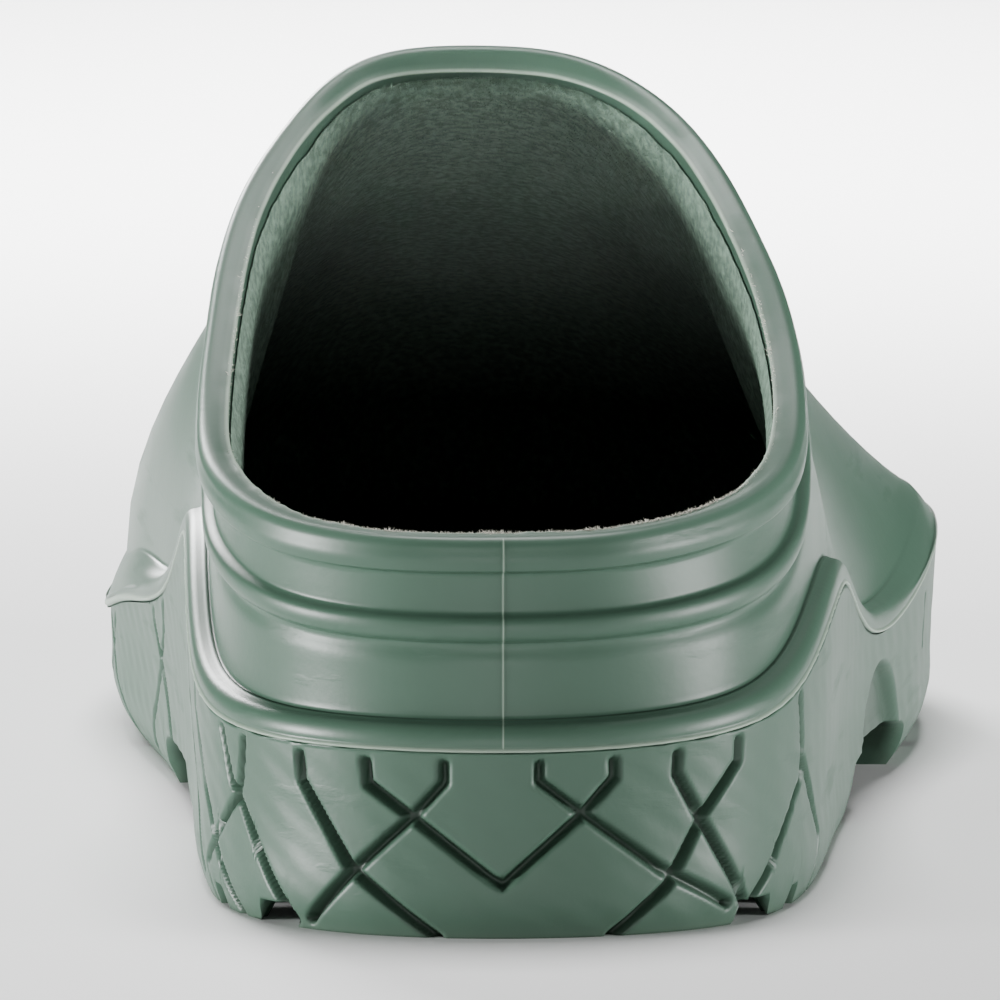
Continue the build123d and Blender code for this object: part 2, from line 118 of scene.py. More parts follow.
def splineAt(knots, values, slopes, t):
    k = np.clip(np.searchsorted(knots, t, side="right") - 1, 0, len(knots) - 2)
    h = knots[k + 1] - knots[k]
    u = (t - knots[k]) / h
    if values.ndim > 1:
        h, u = h[..., None], u[..., None]
    low = (1 + 2 * u) * (1 - u) ** 2 * values[k] + u * (1 - u) ** 2 * h * slopes[k]
    return low + u * u * (3 - 2 * u) * values[k + 1] - u * u * (1 - u) * h * slopes[k + 1]


def closedCurve(points, count=4800):
    ring = np.array(points + points[:1], float)
    steps = np.linalg.norm(np.diff(ring, axis=0), axis=1)
    knots = np.concatenate([[0.0], np.cumsum(np.sqrt(steps))])
    t = np.linspace(0, knots[-1], count, endpoint=False)
    return splineAt(knots, ring, splineSlopes(knots, ring, True), t)


def sideLine(table, y):
    table = np.array(table, float)
    knots, values = table[:, 0] * clog["length"], table[:, 1] * clog["height"]
    return splineAt(knots, values, splineSlopes(knots, values, False), np.clip(y, 0, clog["length"]))


def insetCurve(curve, amount):
    run = np.roll(curve[:, :2], -1, axis=0) - np.roll(curve[:, :2], 1, axis=0)
    run = run / np.linalg.norm(run, axis=1)[:, None]
    moved = curve.copy()
    moved[:, 0] -= amount * run[:, 1]
    moved[:, 1] += amount * run[:, 0]
    return moved


def atBearing(curve, theta, column=None):
    # Distance from the upright axis in direction theta (0 is the toe), or another column there.
    bearing = np.arctan2(curve[:, 0], curve[:, 1] - axisY)
    value = np.hypot(curve[:, 0], curve[:, 1] - axisY) if column is None else curve[:, column]
    order = np.argsort(bearing)
    return np.interp(theta, bearing[order], value[order], period=2 * np.pi)


def smoothStep(low, high, value):
    u = np.clip((value - low) / (high - low), 0, 1)
    return u * u * (3 - 2 * u)


def waveHeight(x, y):
    share = smoothStep(-0.5 * clog["halfWidth"], 0.5 * clog["halfWidth"], x)
    return share * sideLine(outerWave, y) + (1 - share) * sideLine(innerWave, y)


def weltRise(x, y):
    # The welt band grows taller along the inner side of the forefoot.
    ahead = smoothStep(0.45, 0.60, y / clog["length"])
    inner = smoothStep(-0.5, 0.5, -x / clog["halfWidth"])
    return clog["weltHeight"] * (1 + 0.9 * ahead * inner)


def floorHeight(y):
    return sideLine(floorLine, y)


def toSpace(theta, r, z):
    return np.stack([r * np.sin(theta), axisY + r * np.cos(theta), z + 0 * r], axis=-1)


plan = closedCurve([(x * clog["halfWidth"], y * clog["length"]) for y, x in solePlan])
edge = closedCurve([
    (x * clog["halfWidth"], y * clog["length"], z * clog["height"]) for y, x, z in openingEdge
])
weltFoot = insetCurve(plan, clog["weltStand"])
edgeOuter = insetCurve(edge, -clog["wall"])


def wavyNoise(u, seed, waves, period):
    # Smooth repeatable noise along a closed run: a sum of whole sine waves, about -1 to 1.
    rng = np.random.default_rng(seed)
    total = np.zeros_like(u)
    for k in waves:
        total += np.sin(2 * np.pi * k * u / period + rng.uniform(0, 2 * np.pi)) * rng.uniform(0.5, 1.0)
    return total / math.sqrt(len(waves))


def basePath(theta, t):
    # Outer face of the upper without ribs, in the upright plane at bearing theta: one
    # cubic Bezier from the welt (t = 0) to the opening (t = 1).
    r0 = atBearing(weltFoot, theta)
    x0, y0 = r0 * np.sin(theta), axisY + r0 * np.cos(theta)
    z0 = waveHeight(x0, y0) + weltRise(x0, y0)
    r3, z3 = atBearing(edgeOuter, theta), atBearing(edge, theta, 2)
    reach, rise = r0 - r3, z3 - z0
    long = smoothStep(6, 66, reach)
    flat = smoothStep(0, 1, 2.2 * np.sin(theta))      # outer flank slopes, inner flank is steep
    flank = smoothStep(8, 22, reach) * smoothStep(0.1, 0.35, np.abs(np.sin(theta)))
    r1 = r0 - reach * (0.05 * (1 - long) + 0.15 * flat * long + 0.05 * flat * flank)
    z1 = z0 + rise * (0.34 + long * (0.09 - 0.30 * flat) - flank * (0.11 - 0.04 * flat))
    r2 = r3 + reach * (0.30 + long * (0.17 - 0.12 * flat) - 0.10 * flank)
    z2 = z3 - rise * (0.36 + long * (0.06 + 0.10 * flat))
    a, b, c, d = (1 - t) ** 3, 3 * t * (1 - t) ** 2, 3 * t * t * (1 - t), t ** 3
    return a * r0 + b * r1 + c * r2 + d * r3, a * z0 + b * z1 + c * z2 + d * z3


def ringBearings(count, crowd=0.0):
    # Bearings spread evenly along the sole outline; crowd adds columns at the heel seam.
    reach = np.linspace(-np.pi, np.pi, 20001)
    radius = atBearing(plan, reach)
    spots = np.stack([radius * np.sin(reach), radius * np.cos(reach)], axis=1)
    steps = np.linalg.norm(np.diff(spots, axis=0), axis=1)
    middle = (reach[1:] + reach[:-1]) / 2
    nearSeam = np.exp(-((np.pi - np.abs(middle)) / 0.012) ** 2)
    run = np.concatenate([[0], np.cumsum(steps * (1 + crowd * nearSeam))])
    return np.interp(np.linspace(0, run[-1], count, endpoint=False), run, reach)


class WallSheet:
    # The upper's base surface sampled over bearing and height, with its normals.
    def __init__(self, theta, samples=121):
        t = np.linspace(0, 1, samples)
        grid = theta[:, None]
        r, z = basePath(grid, t[None, :])
        self.theta = theta
        self.place = toSpace(grid, r, z)
        around = np.roll(self.place, -1, axis=0) - np.roll(self.place, 1, axis=0)
        up = np.gradient(self.place, axis=1)
        normal = np.cross(up, around)
        normal /= np.linalg.norm(normal, axis=2)[..., None]
        outward = self.place[:, :1] - np.array([0, axisY, 0])
        sign = np.sign(np.sum(normal[:, :1] * outward * [1, 1, 0], axis=2))
        self.normal = normal * sign[..., None]
        steps = np.linalg.norm(np.diff(self.place, axis=1), axis=2)
        self.run = np.concatenate([np.zeros((len(theta), 1)), np.cumsum(steps, axis=1)], axis=1)
        along = around[:, -1] / np.linalg.norm(around[:, -1], axis=1)[:, None]
        self.rising = up[:, -1] / np.linalg.norm(up[:, -1], axis=1)[:, None]
        # An in-plane distance times square is the true distance from the opening.
        self.square = np.sqrt(np.maximum(1 - np.sum(along * self.rising, axis=1) ** 2, 0.1))
        self.length = self.run[:, -1]

    def sample(self, down):
        # Points and normals at in-plane distances down from the opening, one row per bearing.
        target = np.clip(self.length[:, None] - down, 0, self.length[:, None])
        k = np.sum(self.run[:, :, None] <= target[:, None, :], axis=1) - 1
        k = np.clip(k, 0, self.run.shape[1] - 2)
        row = np.arange(len(self.theta))[:, None]
        low, high = self.run[row, k], self.run[row, k + 1]
        u = ((target - low) / np.maximum(high - low, 1e-9))[..., None]
        place = self.place[row, k] * (1 - u) + self.place[row, k + 1] * u
        normal = self.normal[row, k] * (1 - u) + self.normal[row, k + 1] * u
        return place, normal / np.linalg.norm(normal, axis=2)[..., None]


def outlineSpot(theta, inset, z):
    return toSpace(theta, atBearing(insetCurve(plan, inset), theta), z)


def makeMesh(name, points, faces, material, layers=None, smooth=True):
    # points in millimetres; layers are per-point values the materials read.
    mesh = bpy.data.meshes.new(name)
    mesh.vertices.add(len(points))
    mesh.vertices.foreach_set("co", ((points + frameShift) * 0.001).astype(np.float32).ravel())
    sides = faces.shape[1]
    mesh.loops.add(faces.size)
    mesh.loops.foreach_set("vertex_index", faces.astype(np.int32).ravel())
    mesh.polygons.add(len(faces))
    mesh.polygons.foreach_set("loop_start", np.arange(0, faces.size, sides, dtype=np.int32))
    mesh.polygons.foreach_set("loop_total", np.full(len(faces), sides, dtype=np.int32))
    mesh.update(calc_edges=True)
    mesh.validate()
    for key, value in (layers or {}).items():
        layer = mesh.attributes.new(key, "FLOAT", "POINT")
        layer.data.foreach_set("value", value.astype(np.float32).ravel())
    mesh.polygons.foreach_set("use_smooth", np.full(len(mesh.polygons), smooth))
    mesh.materials.append(material)
    piece = bpy.data.objects.new(name, mesh)
    bpy.context.scene.collection.objects.link(piece)
    return piece


def gridFaces(columns, rows, closedRows=False, flip=False):
    # Quads of a grid whose columns wrap round; its rows wrap too where closedRows is set.
    i = np.arange(columns)[:, None]
    j = np.arange(rows if closedRows else rows - 1)[None, :]
    a, b = i * rows + j, ((i + 1) % columns) * rows + j
    c, d = ((i + 1) % columns) * rows + (j + 1) % rows, i * rows + (j + 1) % rows
    quads = np.stack([a, b, c, d], axis=-1).reshape(-1, 4)
    return quads[:, ::-1] if flip else quads


def nodeTree(material):
    material.use_nodes = True
    return material.node_tree.nodes, material.node_tree.links


def addNode(tree, kind, **settings):
    node = tree.nodes.new(kind)
    for key, value in settings.items():
        setattr(node, key, value)
    return node


def rubberTextureGroup():
    # Moulded rubber: soft cloudy tone, fine grain and short handling scuffs. Outputs are
    # masks and a height, so each material makes its own colour from them.
    group = bpy.data.node_groups.new("MouldedRubberTexture", "ShaderNodeTree")
    for name, value in (("Cloud Size", 18.0), ("Grain Size", 900.0), ("Scuff Size", 90.0)):
        socket = group.interface.new_socket(name, in_out="INPUT", socket_type="NodeSocketFloat")
        socket.default_value = value
    for name in ("Cloud", "Scuff", "Height"):
        group.interface.new_socket(name, in_out="OUTPUT", socket_type="NodeSocketFloat")
    start, end = addNode(group, "NodeGroupInput"), addNode(group, "NodeGroupOutput")
    place = addNode(group, "ShaderNodeTexCoord")
    cloud = addNode(group, "ShaderNodeTexNoise")
    cloud.inputs["Detail"].default_value = 4
    grain = addNode(group, "ShaderNodeTexNoise")
    grain.inputs["Detail"].default_value = 2
    stretch = addNode(group, "ShaderNodeMapping")
    stretch.inputs["Scale"].default_value = (1.0, 0.35, 2.6)
    scuff = addNode(group, "ShaderNodeTexNoise")
    scuff.inputs["Detail"].default_value = 6
    scuffMask = addNode(group, "ShaderNodeMapRange")
    scuffMask.inputs["From Min"].default_value = 0.60
    scuffMask.inputs["From Max"].default_value = 0.78
    height = addNode(group, "ShaderNodeMath", operation="MULTIPLY_ADD")
    height.inputs[1].default_value = 0.35
    link = group.links.new
    for node in (cloud, grain):
        link(place.outputs["Object"], node.inputs["Vector"])
    link(place.outputs["Object"], stretch.inputs["Vector"])
    link(stretch.outputs["Vector"], scuff.inputs["Vector"])
    link(start.outputs["Cloud Size"], cloud.inputs["Scale"])
    link(start.outputs["Grain Size"], grain.inputs["Scale"])
    link(start.outputs["Scuff Size"], scuff.inputs["Scale"])
    link(scuff.outputs["Fac"], scuffMask.inputs["Value"])
    link(grain.outputs["Fac"], height.inputs[0])
    link(scuffMask.outputs["Result"], height.inputs[2])
    link(cloud.outputs["Fac"], end.inputs["Cloud"])
    link(scuffMask.outputs["Result"], end.inputs["Scuff"])
    link(height.outputs["Value"], end.inputs["Height"])
    return group


rubberTexture = rubberTextureGroup()


def mixColour(tree, kind="MIX"):
    return addNode(tree, "ShaderNodeMix", data_type="RGBA", blend_type=kind)


def rubberMaterial(name, look):
    material = bpy.data.materials.new(name)
    nodes, links = nodeTree(material)
    tree = material.node_tree
    shader = nodes["Principled BSDF"]
    shader.inputs["IOR"].default_value = 1.5
    shader.inputs["Specular IOR Level"].default_value = look["specular"]
    texture = addNode(tree, "ShaderNodeGroup", node_tree=rubberTexture)
    tone = mixColour(tree)
    tone.inputs["A"].default_value = (*look["shade"], 1)
    tone.inputs["B"].default_value = (*look["tint"], 1)
    links.new(texture.outputs["Cloud"], tone.inputs["Factor"])
    flash = addNode(tree, "ShaderNodeAttribute", attribute_name="flash")
    pale = mixColour(tree)
    pale.inputs["B"].default_value = (*look["flash"], 1)
    links.new(flash.outputs["Fac"], pale.inputs["Factor"])
    links.new(tone.outputs["Result"], pale.inputs["A"])
    # Painted shade: a per-point layer darkens the base colour, multiplied by a dull green, in grooves, the
    # arch recess and under the tread, plus some darkening at the tread edge.
    shadeAndGrime = addNode(tree, "ShaderNodeAttribute", attribute_name="shadeAndGrime")
    dark = mixColour(tree, "MULTIPLY")
    dark.inputs["B"].default_value = (*look["shadeAndGrime"], 1)
    links.new(shadeAndGrime.outputs["Fac"], dark.inputs["Factor"])
    links.new(pale.outputs["Result"], dark.inputs["A"])
    links.new(dark.outputs["Result"], shader.inputs["Base Color"])
    rough = addNode(tree, "ShaderNodeMapRange")
    rough.inputs["From Min"].default_value = 0.3
    rough.inputs["From Max"].default_value = 0.7
    rough.inputs["To Min"].default_value = look["roughness"] - 0.05
    rough.inputs["To Max"].default_value = look["roughness"] + 0.06
    links.new(texture.outputs["Cloud"], rough.inputs["Value"])
    dull = addNode(tree, "ShaderNodeMath", operation="MULTIPLY_ADD")
    dull.inputs[1].default_value = 0.12
    links.new(texture.outputs["Scuff"], dull.inputs[0])
    links.new(rough.outputs["Result"], dull.inputs[2])
    links.new(dull.outputs["Value"], shader.inputs["Roughness"])
    bump = addNode(tree, "ShaderNodeBump")
    bump.inputs["Strength"].default_value = look["bump"]
    bump.inputs["Distance"].default_value = 0.0002
    links.new(texture.outputs["Height"], bump.inputs["Height"])
    links.new(bump.outputs["Normal"], shader.inputs["Normal"])
    return material


def textileMaterial(name, look):
    material = bpy.data.materials.new(name)
    nodes, links = nodeTree(material)
    tree = material.node_tree
    shader = nodes["Principled BSDF"]
    shader.inputs["Roughness"].default_value = 0.95
    shader.inputs["Specular IOR Level"].default_value = 0.15
    shader.inputs["Sheen Weight"].default_value = look["sheen"]
    shader.inputs["Sheen Roughness"].default_value = 0.6
    place = addNode(tree, "ShaderNodeTexCoord")
    fuzz = addNode(tree, "ShaderNodeTexNoise")
    fuzz.inputs["Scale"].default_value = look["fuzzSize"]
    fuzz.inputs["Detail"].default_value = 5
    links.new(place.outputs["Object"], fuzz.inputs["Vector"])
    tone = mixColour(tree)
    tone.inputs["A"].default_value = (*look["shade"], 1)
    tone.inputs["B"].default_value = (*look["tint"], 1)
    contrast = addNode(tree, "ShaderNodeMapRange")
    contrast.inputs["From Min"].default_value = 0.38
    contrast.inputs["From Max"].default_value = 0.66
    links.new(fuzz.outputs["Fac"], contrast.inputs["Value"])
    links.new(contrast.outputs["Result"], tone.inputs["Factor"])
    links.new(tone.outputs["Result"], shader.inputs["Base Color"])
    bump = addNode(tree, "ShaderNodeBump")
    bump.inputs["Strength"].default_value = 0.8
    bump.inputs["Distance"].default_value = 0.0006
    links.new(fuzz.outputs["Fac"], bump.inputs["Height"])
    links.new(bump.outputs["Normal"], shader.inputs["Normal"])
    return material


rubberLook = {
    "tint": (0.046, 0.092, 0.064),      # sage green
    "shade": (0.037, 0.076, 0.052),
    "flash": (0.34, 0.42, 0.34),        # stretched or trimmed rubber goes pale
    # dull green multiplied in as painted shade in grooves and recesses, and as darkening at the tread edge
    "shadeAndGrime": (0.28, 0.31, 0.27),
    "roughness": 0.40,
    "specular": 0.34,
    "bump": 0.25,
}
upperRubber = rubberMaterial("upper rubber", rubberLook)
soleRubber = rubberMaterial("sole rubber", {**rubberLook, "roughness": 0.46, "bump": 0.35})
liningTextile = textileMaterial("lining textile", {
    "tint": (0.180, 0.270, 0.205), "shade": (0.095, 0.148, 0.112), "sheen": 0.05, "fuzzSize": 800,
})
bedCloth = textileMaterial("footbed cloth", {
    "tint": (0.018, 0.021, 0.018), "shade": (0.008, 0.009, 0.008), "sheen": 0.1, "fuzzSize": 1500,
})
frayedYarn = textileMaterial("frayed yarn", {
    "tint": (0.78, 0.76, 0.66), "shade": (0.55, 0.54, 0.46), "sheen": 0.3, "fuzzSize": 3000,
})
print("materials ready")

upperBuild = {
    "columns": 820, "seamCrowd": 6.0, "lowerRows": 14, "insideRows": 12,
    "seamWidth": 0.075,       # mould parting line up the back of the heel
    "seamEnd": 30.0,
}


def bump01(value, low, high, soft):
    # 1 between low and high, falling smoothly to 0 over soft on either side.
    return smoothStep(low - soft, low + soft, value) * (1 - smoothStep(high - soft, high + soft, value))


def bandStand(d):
    # How far the bands stand out at true distance d below the opening: the rolled bead,
    # a channel, then one rounded rib.
    ribTop = clog["beadHeight"] + clog["ribGap"]
    ribLow = ribTop + clog["ribHeight"]
    beadLow = clog["beadHeight"]
    bead = 1.05 * clog["beadStand"] * (1 - smoothStep(beadLow - 0.30, beadLow + 0.25, d))
    bead += 0.30 * np.exp(-((d - 2.6) / 1.2) ** 2) - 0.5 * np.clip(1 - d / 1.0, 0, 1) ** 2
    hollow = 0.50 * bump01(d, beadLow + 0.3, ribTop - 0.1, 0.6)
    crown = np.clip(1 - ((d - (ribTop + ribLow) / 2) / (clog["ribHeight"] * 0.56)) ** 2, 0, 1)
    rib = clog["ribStand"] * 1.25 * crown ** 0.42
    below = 0.42 * np.exp(-((d - ribLow - 0.9) / 1.2) ** 2)
    return bead + rib - hollow - below


def buildUpper():
    theta = ringBearings(upperBuild["columns"], upperBuild["seamCrowd"])
    sheet = WallSheet(theta)
    n = len(theta)
    square = sheet.square[:, None]
    bands = np.concatenate([np.linspace(0.0, 1.6, 6), np.linspace(1.9, 14.2, 60)])
    wobble = 0.10 * wavyNoise(theta, 4, (3, 5, 8, 13), 2 * np.pi)[:, None]
    down = bands[None, :] / square
    last = down[:, -1:]
    foot = sheet.length[:, None] - 0.4
    share = np.linspace(0, 1, upperBuild["lowerRows"] + 1)[None, 1:]
    down = np.concatenate([down, last + (foot - last) * share], axis=1)
    place, normal = sheet.sample(down)
    lowered = np.maximum(down * square, 0)
    stand = bandStand(lowered) + wobble * bump01(lowered, 0, 14, 3)
    # Mould parting line: a fine ridge up the back of the heel.
    seamWidth, seamEnd = upperBuild["seamWidth"], upperBuild["seamEnd"]
    seam = np.exp(-(place[..., 0] / seamWidth) ** 2) * (place[..., 1] < seamEnd)
    stand = stand + 0.12 * seam
    outside = place + normal * stand[..., None]
    rows, flash, shadeAndGrime = [outside], [0.6 * seam], [0 * seam]

    # Welt: a rounded band that runs out to the sole's edge and down to a thin flash line.
    ragged = 0.05 + 0.10 * np.abs(wavyNoise(theta, 9, (31, 47, 83, 120, 171), 2 * np.pi))
    weltRows = [          # inset from the sole's edge, share of the welt's height, paleness
        (2.90, 0.90, 0), (2.70, 0.91, 0), (2.50, 0.93, 0), (2.25, 0.90, 0),
        (1.9, 0.865, 0), (1.4, 0.845, 0), (1.0, 0.81, 0),
        (0.65, 0.75, 0), (0.36, 0.66, 0), (0.16, 0.55, 0), (0.05, 0.43, 0), (0.0, 0.32, 0),
        (0.02, 0.21, 0.0), (0.12, 0.15, 0.1), (0.02, 0.11, 0.6), (-0.08, 0.08, 0.7),
        (-0.06, 0.03, 0.6), (0.3, 0.0, 0.1), (2.0, 0.0, 0),
    ]
    bevel = np.array([(0.0, 0.02), (0.4, 0.20), (1.2, 0.50), (2.0, 0.75), (2.8, 0.96)])
    r = atBearing(weltFoot, theta)
    ahead = smoothStep(0.42, 0.60, (axisY + r * np.cos(theta)) / clog["length"])
    for inset, level, pale in weltRows:
        # The band is round at the heel and a plain bevel round the forefoot.
        if inset > 0.13 and level > 0:
            level = level + ahead * (np.interp(inset, bevel[:, 0], bevel[:, 1]) - level)
        elif level > 0.2:
            level = level + ahead * (0.17 + 0.1 * (level - 0.2) - level)
        r = atBearing(insetCurve(plan, inset), theta)
        if pale > 0.5:
            r = r + ragged
        x, y = r * np.sin(theta), axisY + r * np.cos(theta)
        z = waveHeight(x, y) + clog["touch"] + level * weltRise(x, y)
        rows.append(np.stack([x, y, z], axis=-1)[:, None])
        lineSeam = np.exp(-(x / seamWidth) ** 2) * (y < seamEnd) * (pale < 0.5)
        flash.append(np.maximum(np.full(n, pale) * 0.8, 0.6 * lineSeam)[:, None])
        shadeAndGrime.append(np.zeros((n, 1)))
    foot = clog["soleWall"] + clog["fit"]
    for inset, level in ((foot, "wave"), (foot, "floor"), (foot + clog["wall"], "floor")):
        r = atBearing(insetCurve(plan, inset), theta)
        x, y = r * np.sin(theta), axisY + r * np.cos(theta)
        z = waveHeight(x, y) + clog["touch"] if level == "wave" else floorHeight(y) + clog["fit"]
        rows.append(np.stack([x, y, z], axis=-1)[:, None])
        flash.append(np.zeros((n, 1)))
        shadeAndGrime.append(np.zeros((n, 1)))

    # Inside face back up to the opening, then over its flat top to the outer face.
    downIn = np.concatenate([
        sheet.length[:, None] * np.linspace(1, 0.12, upperBuild["insideRows"])[None, :],
        np.array([[3.2, 2.4, 1.7, 1.1, 0.6, 0.25]]) / square,
    ], axis=1)
    downIn = np.minimum(downIn, np.maximum.accumulate(downIn[:, ::-1], axis=1)[:, ::-1])
    placeIn, normalIn = sheet.sample(downIn)
    inside = placeIn - normalIn * clog["wall"]
    rows.append(inside)
    flash.append(np.zeros(inside.shape[:2]))
    shadeAndGrime.append(np.zeros(inside.shape[:2]))
    top, topNormal = sheet.sample(np.zeros((n, 1)))
    up = sheet.rising[:, None]
    heel = smoothStep(1.6, 2.4, np.abs(theta))
    nick = 0.10 * wavyNoise(theta, 21, (9, 17, 28, 41), 2 * np.pi)
    nick = (nick + 0.13 * heel * np.abs(wavyNoise(theta, 23, (97, 151, 211, 263), 2 * np.pi)))[:, None]
    rim = [          # distance out from the outer face, lift, paleness
        (-2.80, 0.00, 0.55), (-2.72, 0.16, 0.9), (-2.55, 0.20, 0.75), (-2.2, 0.12, 0.1),
        (-1.4, 0.22, 0), (-0.6, 0.30, 0), (0.0, 0.30, 0), (0.45, 0.20, 0),
    ]
    for amount, lift, pale in rim:
        spot = top + topNormal * amount + up * (lift + nick[..., None] * (amount < -2))
        rows.append(spot)
        flash.append(np.full((n, 1), pale * 0.8))
        shadeAndGrime.append(np.zeros((n, 1)))
    points = np.concatenate(rows, axis=1)
    count = points.shape[1]
    layers = {"flash": np.concatenate(flash, axis=1), "shadeAndGrime": np.concatenate(shadeAndGrime, axis=1)}
    faces = gridFaces(n, count, closedRows=True, flip=True)
    piece = makeMesh("upperRubber", points.reshape(-1, 3), faces, upperRubber, layers)
    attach(piece, "clog")
    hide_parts("upper_shell")
    print("upper", n, count, len(faces) * 2)


buildUpper()

liningBuild = {"columns": 720, "drop": 2.2, "rows": 60, "pileLength": 0.42, "hairs": 14000,
               "hairThick": 0.035}


def buildLining():
    theta = ringBearings(liningBuild["columns"])
    sheet = WallSheet(theta)
    n = len(theta)
    near = clog["wall"] + clog["touch"]
    topDown = liningBuild["drop"] / sheet.square[:, None]
    topDown = topDown + 0.35 * wavyNoise(theta, 33, (11, 19, 37, 61), 2 * np.pi)[:, None]
    share = np.linspace(0, 1, liningBuild["rows"])[None, :] ** 1.3
    down = topDown + (sheet.length[:, None] - topDown) * share
    place, normal = sheet.sample(down)
    rng = np.random.default_rng(5)
    fuzz = rng.normal(0, 0.05, place.shape[:2])
    # The sock thins to a feathered edge over its last few millimetres.
    below = (down - topDown) * sheet.square[:, None]
    thick = clog["liningThickness"] * (0.12 + 0.88 * smoothStep(0, 5.0, below))
    inner = place - normal * (near + thick + fuzz * smoothStep(0, 2.5, below))[..., None]
    outer = place - normal * near
    far = near + clog["liningThickness"]
    lowIn = outlineSpot(theta, clog["soleWall"] + clog["fit"] + far, 0)
    lowOut = outlineSpot(theta, clog["soleWall"] + clog["fit"] + near, 0)
    lowIn[:, 2] = floorHeight(lowIn[:, 1]) + clog["fit"]
    lowOut[:, 2] = floorHeight(lowOut[:, 1]) + clog["fit"]
    points = np.concatenate([inner, lowIn[:, None], lowOut[:, None], outer[:, ::-1]], axis=1)
    faces = gridFaces(n, points.shape[1], closedRows=True)
    piece = makeMesh("liningSock", points.reshape(-1, 3), faces, liningTextile)
    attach(piece, "clog")
    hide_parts("upper_lining")
    print("lining", n, points.shape[1], len(faces) * 2)
    return inner, normal


liningInner, liningNormal = buildLining()


def makeHairs(name, roots, ways, lengths, thick, material, seed):
    # Short bent fibres: a three-sided taper from each root, all in one mesh.
    rng = np.random.default_rng(seed)
    count = len(roots)
    ways = ways / np.linalg.norm(ways, axis=1)[:, None]
    side = np.cross(ways, rng.normal(size=(count, 3)))
    side /= np.linalg.norm(side, axis=1)[:, None]
    other = np.cross(ways, side)
    steps = np.array([0.0, 0.5, 1.0])
    curl = side * (lengths * rng.uniform(0.2, 0.7, count))[:, None]
    spine = (
        roots[:, None]
        + ways[:, None] * (lengths[:, None, None] * steps[None, :, None])
        + curl[:, None] * (steps ** 2)[None, :, None]
    )
    angle = np.array([0, 2.0944, 4.1888])
    ring = side[:, None] * np.cos(angle)[None, :, None] + other[:, None] * np.sin(angle)[None, :, None]
    taper = np.array([1.0, 0.8, 0.15]) * thick
    points = spine[:, :, None] + ring[:, None] * taper[None, :, None, None]
    base = (np.arange(count) * 9)[:, None]
    local = []
    for j in (0, 3):
        for k in range(3):
            local.append([j + k, j + (k + 1) % 3, j + 3 + (k + 1) % 3, j + 3 + k])
    faces = (base[:, :, None] + np.array(local)[None]).reshape(-1, 4)
    piece = makeMesh(name, points.reshape(-1, 3), faces, material)
    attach(piece, "clog")
    return piece


def buildPile():
    # Brushed pile standing off the sock, densest under the throat and near the opening.
    rng = np.random.default_rng(12)
    n, m = liningInner.shape[:2]
    pick = liningBuild["hairs"]
    theta = ringBearings(n)
    chance = np.exp(-(theta / 0.30) ** 2)        # bearing 0 is under the throat
    i = rng.choice(n, pick, p=chance / chance.sum())
    j = (rng.uniform(0, 1, pick) ** 2.2 * (m - 30)).astype(int)
    roots = liningInner[i, j] + rng.normal(0, 0.5, (pick, 3)) * 0.6
    ways = -liningNormal[i, j] + rng.normal(0, 0.55, (pick, 3))
    lengths = liningBuild["pileLength"] * rng.uniform(0.4, 1.0, pick)
    thick = liningBuild["hairThick"]
    makeHairs("liningPile", roots, ways, lengths, thick, liningTextile, 3)


fray = {"count": 4200, "spread": 0.66, "thick": 0.05}


def buildFray():
    # Pale ends of the backing yarn left along the trimmed edge, mostly round the heel.
    rng = np.random.default_rng(8)
    count = fray["count"]
    theta = np.pi + rng.normal(0, fray["spread"], count)
    theta = (theta + np.pi) % (2 * np.pi) - np.pi
    order = np.argsort(theta)
    sheet = WallSheet(theta[order])
    place, normal = sheet.sample(np.full((count, 1), 0.5))
    place, normal = place[:, 0], normal[:, 0]
    radial = place - np.array([0, axisY, 0])
    radial[:, 2] = 0
    radial /= np.linalg.norm(radial, axis=1)[:, None]
    amount = clog["wall"] + rng.uniform(-0.35, 0.15, count)
    roots = place - radial * amount[:, None]
    roots[:, 2] += rng.uniform(0.60, 0.85, count)
    tilt = rng.normal(0, 0.7, (count, 2))
    ways = np.concatenate([tilt, rng.uniform(0.1, 1.0, (count, 1))], axis=1)
    ways -= radial * 0.5
    tufts = 0.5 + 0.5 * np.clip(wavyNoise(theta[order], 52, (23, 39, 57, 91), 2 * np.pi), 0, 1)
    lengths = rng.uniform(0.2, 0.8, count) * tufts
    makeHairs("frayedEdge", roots, ways, lengths, fray["thick"], frayedYarn, 4)


buildPile()
buildFray()

soleBuild = {"columns": 1000, "wallRows": 64, "treadRows": 20}
# Height above the tread, and how far the side wall stands in from the sole's outline there.
draft = np.array([(0.0, 2.3), (2.5, 1.4), (10.0, 0.9), (24.0, 0.25), (48.0, 0.0)])
groove = {"width": 1.55, "depth": 1.6}
archStart, archEnd, archRoof = 0.345 * clog["length"], 0.53 * clog["length"], 7.5

